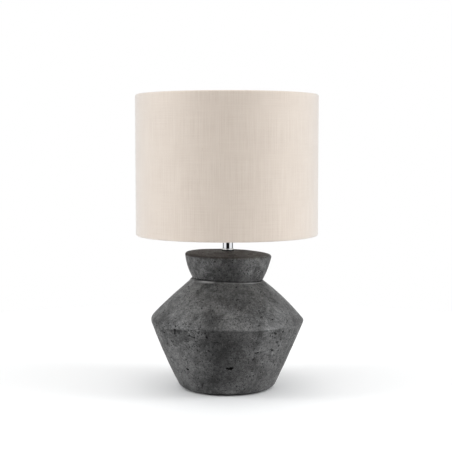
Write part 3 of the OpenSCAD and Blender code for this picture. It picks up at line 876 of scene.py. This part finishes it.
neck_piece("neck_gasket_ring", [
    (NECK_BORE, GASKET_Z0), (GASKET_R - 0.2, GASKET_Z0, 0.3),
    (GASKET_R + 0.1, (GASKET_Z0 + GASKET_Z1) / 2, 1.5), (GASKET_R - 0.2, GASKET_Z1, 0.3),
    (NECK_BORE, GASKET_Z1)], 4, "rubber", "neck_gasket", 96)
neck_piece("neck_flare", [
    (NECK_BORE, COLLAR_Z0), (COLLAR_R, COLLAR_Z0, 0.4), (COLLAR_R, COLLAR_Z0 + 1.4, 0.6),
    (TUBE_R + 0.5, TUBE_Z0 - 0.5, 0.8), (TUBE_R + 0.1, TUBE_Z0, 0.05), (TUBE_R - 0.85, TUBE_Z0),
    (TUBE_R - 0.85, TUBE_Z0 + 0.8), (NECK_BORE, TUBE_Z0 + 0.8)], 5, "chrome", "neck_collar", 128)
neck_piece("neck_sleeve", [
    (TUBE_R - SLEEVE_WALL, TUBE_Z0), (TUBE_R, TUBE_Z0, 0.15), (TUBE_R, TUBE_Z1, 0.15),
    (TUBE_R - SLEEVE_WALL, TUBE_Z1)], 4, "chrome", "neck_tube", 128)


M10_PITCH, ROD_BORE = 1.0, 3.4


def rod():
    z0, z1 = ROD_Z0 + 0.5, ROD_Z1 - 0.5
    crests = [(ROD_R, z) for z in np.arange(z0, z1 + 0.01, M10_PITCH / 6)]
    outline = [(ROD_BORE, ROD_Z0), (ROD_R - 0.5, ROD_Z0)] + crests
    outline += [(ROD_R - 0.5, ROD_Z1), (ROD_BORE, ROD_Z1)]
    lathe("m10_rod", outline, "zinc_yellow", ["threaded_rod"], columns=24,
          shape=helix(ROD_R, ROD_R - 0.4, M10_PITCH, z0, crests[-1][1]))


rod()

# ---------------- lampholder

HOLDER_Z = reach("holder_cap")[1]
SKIRT_FLANGE_R, _, SKIRT_TOP = reach("holder_skirt")
SHELL_R, SHELL_Z0, SHELL_TOP = reach("holder_shell")
SKIRT_PITCH = 2.5
E27_PITCH = 3.6


def holder_cap():
    z = HOLDER_Z
    cap = lathe("holder_dome", rounded([
        (ROD_R + 0.05, z), (9.6, z, 0.8), (9.6, z + 5.2, 3), (19.5, z + 14, 7), (19.5, z + 21, 0.4),
        (17.4, z + 21), (17.4, z + 16), (15, z + 16), (15, z + 14.2, 2), (8, z + 7.6, 1.5),
        (8, z + 12), (ROD_R + 0.05, z + 12)], 8),
        "chrome", ["holder_cap"])
    hole = cutter_of([(0, 6), (1.35, 6), (1.35, 14), (0, 14)], 24)
    for vertex in hole.data.vertices:
        x, y, up = vertex.co
        vertex.co = (up, y, (z + 2.7) * MM - x)
    bored(cap, hole)


holder_cap()


def holder_skirt():
    pitch, crest, root = SKIRT_PITCH, 19.8, 19.0
    z0, z1 = 273.2, 303.4
    crests = [(crest, z) for z in np.arange(z0, z1, pitch / 10)]
    outline = rounded([(15.9, 267.8), (17.35, 267.8, 0.3), (17.35, 271.1),
                       (SKIRT_FLANGE_R, 271.1, 0.4), (SKIRT_FLANGE_R, 273.0, 0.4), (root, 273.0)])
    outline += crests
    outline += rounded([(root, z1 + 0.1), (root, SKIRT_TOP, 1), (14.4, SKIRT_TOP, 0.5),
                        (14.4, SKIRT_TOP - 2.5), (15.9, SKIRT_TOP - 2.5)])
    lathe("holder_sleeve", outline, "black_plastic", ["holder_skirt"], columns=72,
          shape=helix(crest, root, pitch, z0, crests[-1][1], 0.35))


holder_skirt()


def holder_shell():
    crest, root = 13.3, 13.95
    top, z0 = SHELL_TOP, SHELL_Z0
    inner = [(crest, z) for z in np.arange(top - 0.6, z0 + 3, -E27_PITCH / 14)]
    outline = [(8, z0), (SHELL_R, z0), (SHELL_R, top), (crest + 0.15, top)] + inner
    outline += [(crest, z0 + 1.2), (crest - 0.2, z0 + 0.8), (crest - 0.6, z0 + 0.6), (8, z0 + 0.6)]
    lathe("screw_shell", outline, "nickel", ["holder_shell"], columns=72,
          shape=helix(crest, root, E27_PITCH, inner[-1][1], inner[0][1], 0.45))


holder_shell()

# ---------------- shade carrier


FITTER_R, FITTER_Z0, FITTER_Z1 = reach("shade_fitter")
FITTER_HOLE_R = 21.0
lathe("fitter_washer", rounded([
    (FITTER_HOLE_R, FITTER_Z0, 0.25), (FITTER_R, FITTER_Z0, 0.5), (FITTER_R, FITTER_Z1, 0.5),
    (FITTER_HOLE_R, FITTER_Z1, 0.25)], 3), "white_metal", ["shade_fitter"], "shade")

ARM_AZIMUTHS = [BACK + TAU * i / 3 for i in range(3)]
ARM_R = 1.8
NOTCH_GAP = 0.75                    # how far the linen stays clear of an arm
ROLL_R = 2.9                        # outer radius of the linen rolled round a ring wire
ROLL_X = LINEN_R - ROLL_R
LOWER_ROLL_Z = HEM_Z0 + ROLL_R
UPPER_ROLL_Z = HEM_Z1 - ROLL_R
ARM_START = (FITTER_R - 0.4, (FITTER_Z0 + FITTER_Z1) / 2)
ARM_END = (WIRE_X - WIRE_R * math.cos(math.radians(30)), LOWER_ROLL_Z + WIRE_R / 2)


def arm_axis(steps=90):
    """Points (r, z) along an arm's centre line: an arc that leaves the fitter level."""
    way = np.array(ARM_END) - np.array(ARM_START)
    radius = float(way @ way) / (-2 * way[1])
    turns = np.linspace(0, math.asin(way[0] / radius) + 0.4 / radius, steps)
    return np.c_[ARM_START[0] + radius * np.sin(turns), ARM_START[1] - radius * (1 - np.cos(turns))]


def weld_beads():
    """Lumpy weld metal under the paint at both ends of every arm."""
    verts, faces = [], []
    rings, columns = 14, 20
    for azimuth in ARM_AZIMUTHS:
        out = np.array(polar(1, azimuth, 0))
        side = np.array([-out[1], out[0], 0])
        for r, z, sizes in ((ARM_START[0] + 1.3, ARM_START[1], (1.7, 2.5, 2.0)),
                            (ARM_END[0] - 0.2, ARM_END[1] + 0.1, (1.9, 2.0, 1.9))):
            for i in range(rings):
                a, b = (len(verts) + row * columns for row in (i, i + 1))
                faces += [(a + c, b + c, b + (c + 1) % columns, a + (c + 1) % columns)
                          for c in range(columns)]
            for i in range(rings + 1):
                tilt = math.pi * i / rings
                for c in range(columns):
                    way = np.array(polar(math.sin(tilt), TAU * c / columns, math.cos(tilt)))
                    spot = Vector(way * 2.2) + Vector((azimuth * 9, r, 0))
                    x, y, up = way * sizes * (1 + 0.09 * noise.noise(spot))
                    verts.append(out * (r + x) + side * y + np.array([0, 0, z + up]))
    piece = add_piece("weld_beads", verts, faces, "white_metal", body="shade", weighted=False)
    with reworked(piece.data) as work:
        bmesh.ops.remove_doubles(work, verts=work.verts, dist=1e-6)


weld_beads()

# ---------------- linen cover and liner

LINEN_T, LINER_T = 0.65, 0.6
LINER_GAP = 0.7                     # width of the liner's joint
SEAM = 12.0                         # how far the linen's end laps over its start, at the back
PUCKER = 0.10
EDGE_FADE = 12                      # the wall runs true over this length at both its ends
SLOW_WAVE = 0.16                    # how far the drum's wall wanders off a true circle


def cloth_path():
    """The cover's centre line as (r, z): lower tuck, round the wire, up the wall, upper tuck."""
    mid = ROLL_R - LINEN_T / 2
    tuck = ROLL_X - mid
    tuck_r = WIRE_X - tuck
    lower = arc((WIRE_X, 0), tuck_r, 50, 180, 8)[:-1] + arc((ROLL_X, 0), mid, -180, 0, 14)[:-1]
    heights = np.linspace(LOWER_ROLL_Z, UPPER_ROLL_Z, 43)
    wall = [(ROLL_X + mid, z) for z in heights]
    path = [(r, LOWER_ROLL_Z + z) for r, z in lower] + wall
    return path + [(r, UPPER_ROLL_Z - z) for r, z in reversed(lower)]


def stretch_of(angle, z):
    """The wall's slow wander off its true radius, and its puckers near the wires."""
    x, y = math.cos(angle), math.sin(angle)
    slow = SLOW_WAVE * noise.noise(Vector((x * 2.2, y * 2.2, z / 90)))
    edge = max(0.0, 1 - min(abs(z - WALL_Z0), abs(z - WALL_Z1)) / EDGE_FADE)
    return slow, PUCKER * edge * noise.noise(Vector((x * 22, y * 22, z / 30 + 5)))


def fade(z, low, high):
    """0 at both ends of a wall and 1 away from them."""
    return smooth(0, EDGE_FADE, z - low) * smooth(0, EDGE_FADE, high - z)


def column_angles():
    """Even columns round the drum, with finer ones where the arms pass the rolled edge."""
    degrees = set(np.arange(0, 360, 1.0).round(3))
    for azimuth in ARM_AZIMUTHS:
        middle = round(math.degrees(azimuth)) % 360
        degrees |= set((middle + np.arange(-2, 2.01, 0.25)).round(3) % 360)
    return sorted(math.radians(d) for d in degrees)


def linen_cover():
    path = np.array(cloth_path())
    runs = np.r_[0, np.cumsum(np.linalg.norm(np.diff(path, axis=0), axis=1))]
    normals = np.gradient(path, axis=0)
    normals = np.c_[normals[:, 1], -normals[:, 0]]
    normals /= np.linalg.norm(normals, axis=1)[:, None]
    wall_r = ROLL_X + ROLL_R - LINEN_T / 2
    start = BACK + 0.06                      # beside the back arm
    lap = SEAM / wall_r
    angles = [start + (a - start) % TAU for a in column_angles()]
    angles = sorted(angles) + [start + TAU + lap * t for t in np.linspace(0, 1, 9)]
    angles = [start] + [a for a in angles if a > start + 1e-6]
    axis = arm_axis()
    cols, rows = len(angles), len(path)
    mids = np.zeros((cols, rows, 3))
    ways = np.zeros((cols, rows, 3))
    for i, angle in enumerate(angles):
        end = start + TAU
        raised = (LINEN_T + 0.08) * smooth(end - lap * 0.35, end + lap * 0.05, angle)
        sag = 0.05 * smooth(end + lap * 0.6, end + lap, angle)
        out = np.array([math.cos(angle), math.sin(angle)])
        for j, (r, z) in enumerate(path):
            slow, pucker = stretch_of(angle, z)
            on_wall = 1.0 if LOWER_ROLL_Z <= z <= UPPER_ROLL_Z and r > wall_r - 0.5 else 0.0
            off = slow * on_wall * fade(z, LOWER_ROLL_Z, UPPER_ROLL_Z)
            off += pucker * on_wall + (raised - sag)
            rr = r + normals[j, 0] * off
            mids[i, j] = (out[0] * rr, out[1] * rr, z + normals[j, 1] * off)
            ways[i, j] = (out[0] * normals[j, 0], out[1] * normals[j, 0], normals[j, 1])

    def notched(i, j):
        """Whether a cell of the rolled edge lies where an arm passes through."""
        centre = mids[i:i + 2, j:j + 2].reshape(-1, 3).mean(axis=0)
        if centre[2] > LOWER_ROLL_Z + 6:
            return False
        for azimuth in ARM_AZIMUTHS:
            along = centre[0] * math.cos(azimuth) + centre[1] * math.sin(azimuth)
            beside = centre[1] * math.cos(azimuth) - centre[0] * math.sin(azimuth)
            if along < 0 or abs(beside) > 3:
                continue
            gap = np.sqrt(((axis - (along, centre[2])) ** 2).sum(axis=1) + beside**2).min()
            if gap < ARM_R + NOTCH_GAP:
                return True
        return False

    cells = {(i, j) for i in range(cols - 1) for j in range(rows - 1) if not notched(i, j)}
    corners = sheet_corners(cells)
    verts = np.vstack([(mids + ways * LINEN_T / 2 * side).reshape(-1, 3) for side in (1, -1)])
    faces = numbered(corners, cols, rows)
    cloth = [(angles[i] * wall_r * MM, runs[j] * MM) for face in corners for i, j, _ in face]
    cover = add_piece("linen_cover", verts, faces, "linen",
                      ["shade_linen", "lower_hem", "upper_hem"], "shade", weighted=False)
    uv = cover.data.uv_layers.new(name="cloth")
    uv.data.foreach_set("uv", np.array(cloth, np.float32).ravel())
    cover.data.set_sharp_from_angle(angle=math.radians(60))
    with reworked(cover.data) as work:
        loose = [v for v in work.verts if not v.link_faces]
        bmesh.ops.delete(work, geom=loose, context="VERTS")


def liner():
    """The stiff liner, whose two ends meet in a hairline joint at the back."""
    z0, z1 = reach("shade_liner")[1:]
    half_gap = LINER_GAP / 2 / LINER_R
    angles = np.linspace(BACK + half_gap, BACK + TAU - half_gap, 300)
    heights = np.linspace(z0, z1, 36)
    verts = []
    for r in (LINER_R, LINER_R - LINER_T):
        for angle in angles:
            for z in heights:
                slow, _ = stretch_of(angle, z)
                verts.append(polar(r + slow * fade(z, z0, z1), angle, z))
    cols, rows = len(angles), len(heights)
    corners = sheet_corners({(i, j) for i in range(cols - 1) for j in range(rows - 1)})
    add_piece("drum_liner", verts, numbered(corners, cols, rows), "liner", ["shade_liner"], "shade")


liner()
linen_cover()

# ---------------- bulb

BULB_Z = reach("bulb_contact")[1]
CAP_R, CAP_Z0, CAP_Z1 = reach("bulb_cap")
GLASS_R, GLASS_Z0, BULB_TOP = reach("bulb_glass")
GLASS_WALL = 0.8
STRIP_Z = reach("bulb_filaments")[1]


def bulb_cap():
    crest, root = CAP_R, CAP_R - 0.8
    z0, z1 = CAP_Z0 + 0.2, CAP_Z1 - 4.6
    crests = [(crest, z) for z in np.arange(z0, z1, E27_PITCH / 14)]
    outline = [(11.8, CAP_Z0), (root - 0.1, CAP_Z0)] + crests
    outline += [(root, CAP_Z1 - 4.4), (crest - 0.1, CAP_Z1 - 3.6), (crest, CAP_Z1 - 3.2),
                (crest, CAP_Z1 - 0.1), (crest - 0.3, CAP_Z1), (crest - 0.5, CAP_Z1 - 0.2),
                (11.8, CAP_Z1 - 3.8)]
    lathe("bulb_screw_cap", outline, "nickel", ["bulb_cap"], "bulb", 72,
          helix(crest, root, E27_PITCH, z0, crests[-1][1], 0.45))


def glass_side(inset):
    """One side of the candle glass, from inside the cap to the tip."""
    neck_r = 11.7 - inset
    belly, belly_z = GLASS_R - inset, BULB_Z + 52
    tip, tip_r = BULB_TOP - inset, 3.4 - inset / 2
    side = [(neck_r, GLASS_Z0 + inset), (neck_r, CAP_Z1 - 3.9)]
    side += bezier((neck_r + 0.4, CAP_Z1), (neck_r + 1.2, CAP_Z1 + 9), (belly, belly_z - 14),
                   (belly, belly_z), 22)
    side += bezier((belly, belly_z + 1), (belly, belly_z + 19), (tip_r + 6, tip - 15),
                   (tip_r, tip - 2.8), 26)
    side += bezier((tip_r - 0.2, tip - 2.4), (tip_r - 0.9, tip - 0.8), (tip_r / 2, tip),
                   (0, tip), 8)
    return side


def bulb_glass():
    outer, inner = glass_side(0), glass_side(GLASS_WALL)[::-1]
    outline = [(0, GLASS_Z0)] + outer + inner + [(0, GLASS_Z0 + GLASS_WALL)]
    lathe("candle_glass", outline, "clear_glass", ["bulb_glass"], "bulb", 96)


def tube_between(verts, faces, a, b, radii, columns=12):
    """Adds a round bar from a to b whose radius follows the (share, radius) pairs."""
    a, b = np.array(a, float), np.array(b, float)
    way = unit(b - a)
    side = unit(np.cross(way, (0, 0, 1.0) if abs(way[2]) < 0.9 else (1.0, 0, 0)))
    other = np.cross(way, side)
    first = len(verts)
    for share, radius in radii:
        for c in range(columns):
            t = TAU * c / columns
            verts.append(a + (b - a) * share + (side * math.cos(t) + other * math.sin(t)) * radius)
    last = first + (len(radii) - 1) * columns
    for row in range(first, last, columns):
        faces.extend(band(row, row + columns, columns))
    faces.append(tuple(first + c for c in reversed(range(columns))))
    faces.append(tuple(last + c for c in range(columns)))


def filaments():
    """Four coated LED strips on slanting rods, each with a bright metal tab at both ends."""
    foot_z = STRIP_Z + 0.15
    coated, tabs = ([], []), ([], [])
    for i in range(4):
        angle = math.radians(45 + 90 * i)
        foot, head = np.array(polar(4, angle, foot_z)), np.array(polar(7, angle, foot_z + 30))
        lumps = [(t, 0.86 + 0.04 * math.sin(40 * t + i)) for t in np.linspace(0.06, 0.94, 30)]
        ends = [(0.052, 0.55), (0.055, 0.78)], [(0.945, 0.78), (0.948, 0.55)]
        tube_between(*coated, foot, head, ends[0] + lumps + ends[1])
        tube_between(*tabs, foot, head, [(0.0, 0.45), (0.008, 0.5), (0.05, 0.5)], 10)
        tube_between(*tabs, foot, head, [(0.95, 0.5), (0.992, 0.5), (1.0, 0.45)], 10)
    add_piece("led_filaments", *coated, "phosphor", ["bulb_filaments"], "bulb")
    add_piece("filament_tabs", *tabs, "nickel", body="bulb")


def bulb_stem():
    """The drawn glass mount inside the bulb."""
    base_z, post = CAP_Z0 + 4.2, reach("bulb_stem")[2]
    outline = [(0, base_z)] + rounded([
        (0.5, base_z), (10.6, base_z, 0.8), (4, CAP_Z1 + 2, 3), (3, STRIP_Z - 6.8, 1.5),
        (1, STRIP_Z - 4.8, 0.5), (1, post - 0.4, 0.2), (0.5, post)], 6) + [(0, post)]
    lathe("bulb_mount", outline, "clear_glass", ["bulb_stem"], "bulb", 64)


bulb_cap()
bulb_glass()
filaments()
bulb_stem()

# ---------------- CAD pieces that only need a finish

FINISHES = {
    "zinc_yellow": ["rod_nut"],
    "zinc": ["rod_washer", "holder_lock_screw"],
    "porcelain": ["holder_insert"],
    "brass": ["terminal_screws", "centre_contact", "shell_rivets"],
    "black_plastic": ["seat_ring", "clamp_ring"],
    "white_metal": ["shade_arms", "lower_wire_ring", "upper_wire_ring"],
    "nickel": ["bulb_contact", "bulb_leads"],
    "black_glass": ["bulb_insulator"],
}
for slot_name, node_names in FINISHES.items():
    for node_name in node_names:
        node = frame["nodes"][node_name]
        node.data.materials.clear()
        node.data.materials.append(LOOKS[slot_name])

# ---------------- stage

FLOOR_R = 0.95
BLACK, MAT_GREY, FLOOR_WHITE = (0.01,) * 3, (0.10,) * 3, (0.95,) * 3
QUAD = [(0, 1, 2, 3)]


def card(name, verts, color, faces=None, seen=True):
    """A flat matt piece of the studio, in metres."""
    mesh = bpy.data.meshes.new(name)
    mesh.from_pydata(verts, [], faces or QUAD)
    made = put_in_scene(name, mesh)
    tree, shader = look(name, color, 0.9, Specular_IOR_Level=0.0)
    speck = noise_at(tree, object_coords(tree), 300, 2)
    feed(tree, shader, mixed(tree, speck, tuple(c * 0.99 for c in color), color))
    mesh.materials.append(LOOKS[name])
    made.visible_camera = seen
    return made


def stage():
    steps = 96
    rim = [polar(FLOOR_R, TAU * i / steps, 0) for i in range(steps)]
    card("floor", rim, FLOOR_WHITE, [tuple(range(steps))])
    # A dark screen in front, which only lights and reflections see: it darkens the lamp's middle.
    half, near, far = 1.75, -1.05, -2.6
    low, high = -0.9, 1.5
    card("screen", [(-half, far, low), (half, far, low), (half, far, high), (-half, far, high),
                    (-half * 0.4, near, -0.02), (half * 0.4, near, -0.02)],
         BLACK, [(0, 1, 2, 3), (0, 4, 5, 1)], seen=False)
    # A dark mat that only glossy reflections see, so that the base's front stays deep.
    mat = card("mat", [(-0.05, -0.10, 0.001), (0.05, -0.10, 0.001), (0.55, -0.94, 0.001),
                       (-0.55, -0.94, 0.001)], MAT_GREY, seen=False)
    mat.visible_diffuse = mat.visible_shadow = False
    # Narrow dark flags behind the lamp on both sides, which draw the chrome's edges.
    for name, side in (("flag_left", -1), ("flag_right", 1)):
        inner, outer = (1.45 * side, 1.45), (2.05 * side, 0.45)
        card(name, [(*inner, -0.6), (*outer, -0.6), (*outer, 1.4), (*inner, 1.4)], BLACK,
             seen=False)
    world = bpy.data.worlds.new("studio")
    world.use_nodes = True
    backdrop = world.node_tree.nodes["Background"]
    backdrop.inputs["Color"].default_value = (1, 1, 1, 1)
    backdrop.inputs["Strength"].default_value = 1.0
    bpy.context.scene.world = world


MIDDLE = (0, 0, 0.25)               # what the softboxes point at
COOL_WHITE = (0.95, 0.98, 1.0)


def softbox(name, side, power):
    """A tall softbox beside the lamp, on side -1 (left) or 1 (right), with its power in watts."""
    place = (1.86 * side, -0.38, 1.2)
    light = bpy.data.lights.new(name, "AREA")
    light.shape = "RECTANGLE"
    light.size, light.size_y = 0.7, 1.2
    light.energy = power
    light.color = COOL_WHITE
    box = put_in_scene(name, light)
    box.location = place
    box.rotation_euler = (Vector(MIDDLE) - Vector(place)).to_track_quat("-Z", "Y").to_euler()
    box.visible_camera = False


CAMERA_PLACE = (-0.00146, -1.7339, 0.3953)
CAMERA_DOWN = math.radians(4.212)   # how far the camera looks down from level
LENS_MM, SENSOR_MM = 83.77, 36


def camera():
    data = bpy.data.cameras.new("camera")
    data.lens, data.sensor_width = LENS_MM, SENSOR_MM
    made = put_in_scene("camera", data)
    made.location = CAMERA_PLACE
    made.rotation_euler = (math.pi / 2 - CAMERA_DOWN, 0, 0)
    bpy.context.scene.camera = made


stage()
softbox("left box", -1, 14)
softbox("right box", 1, 16.5)
camera()
bpy.context.scene.view_settings.view_transform = "Standard"
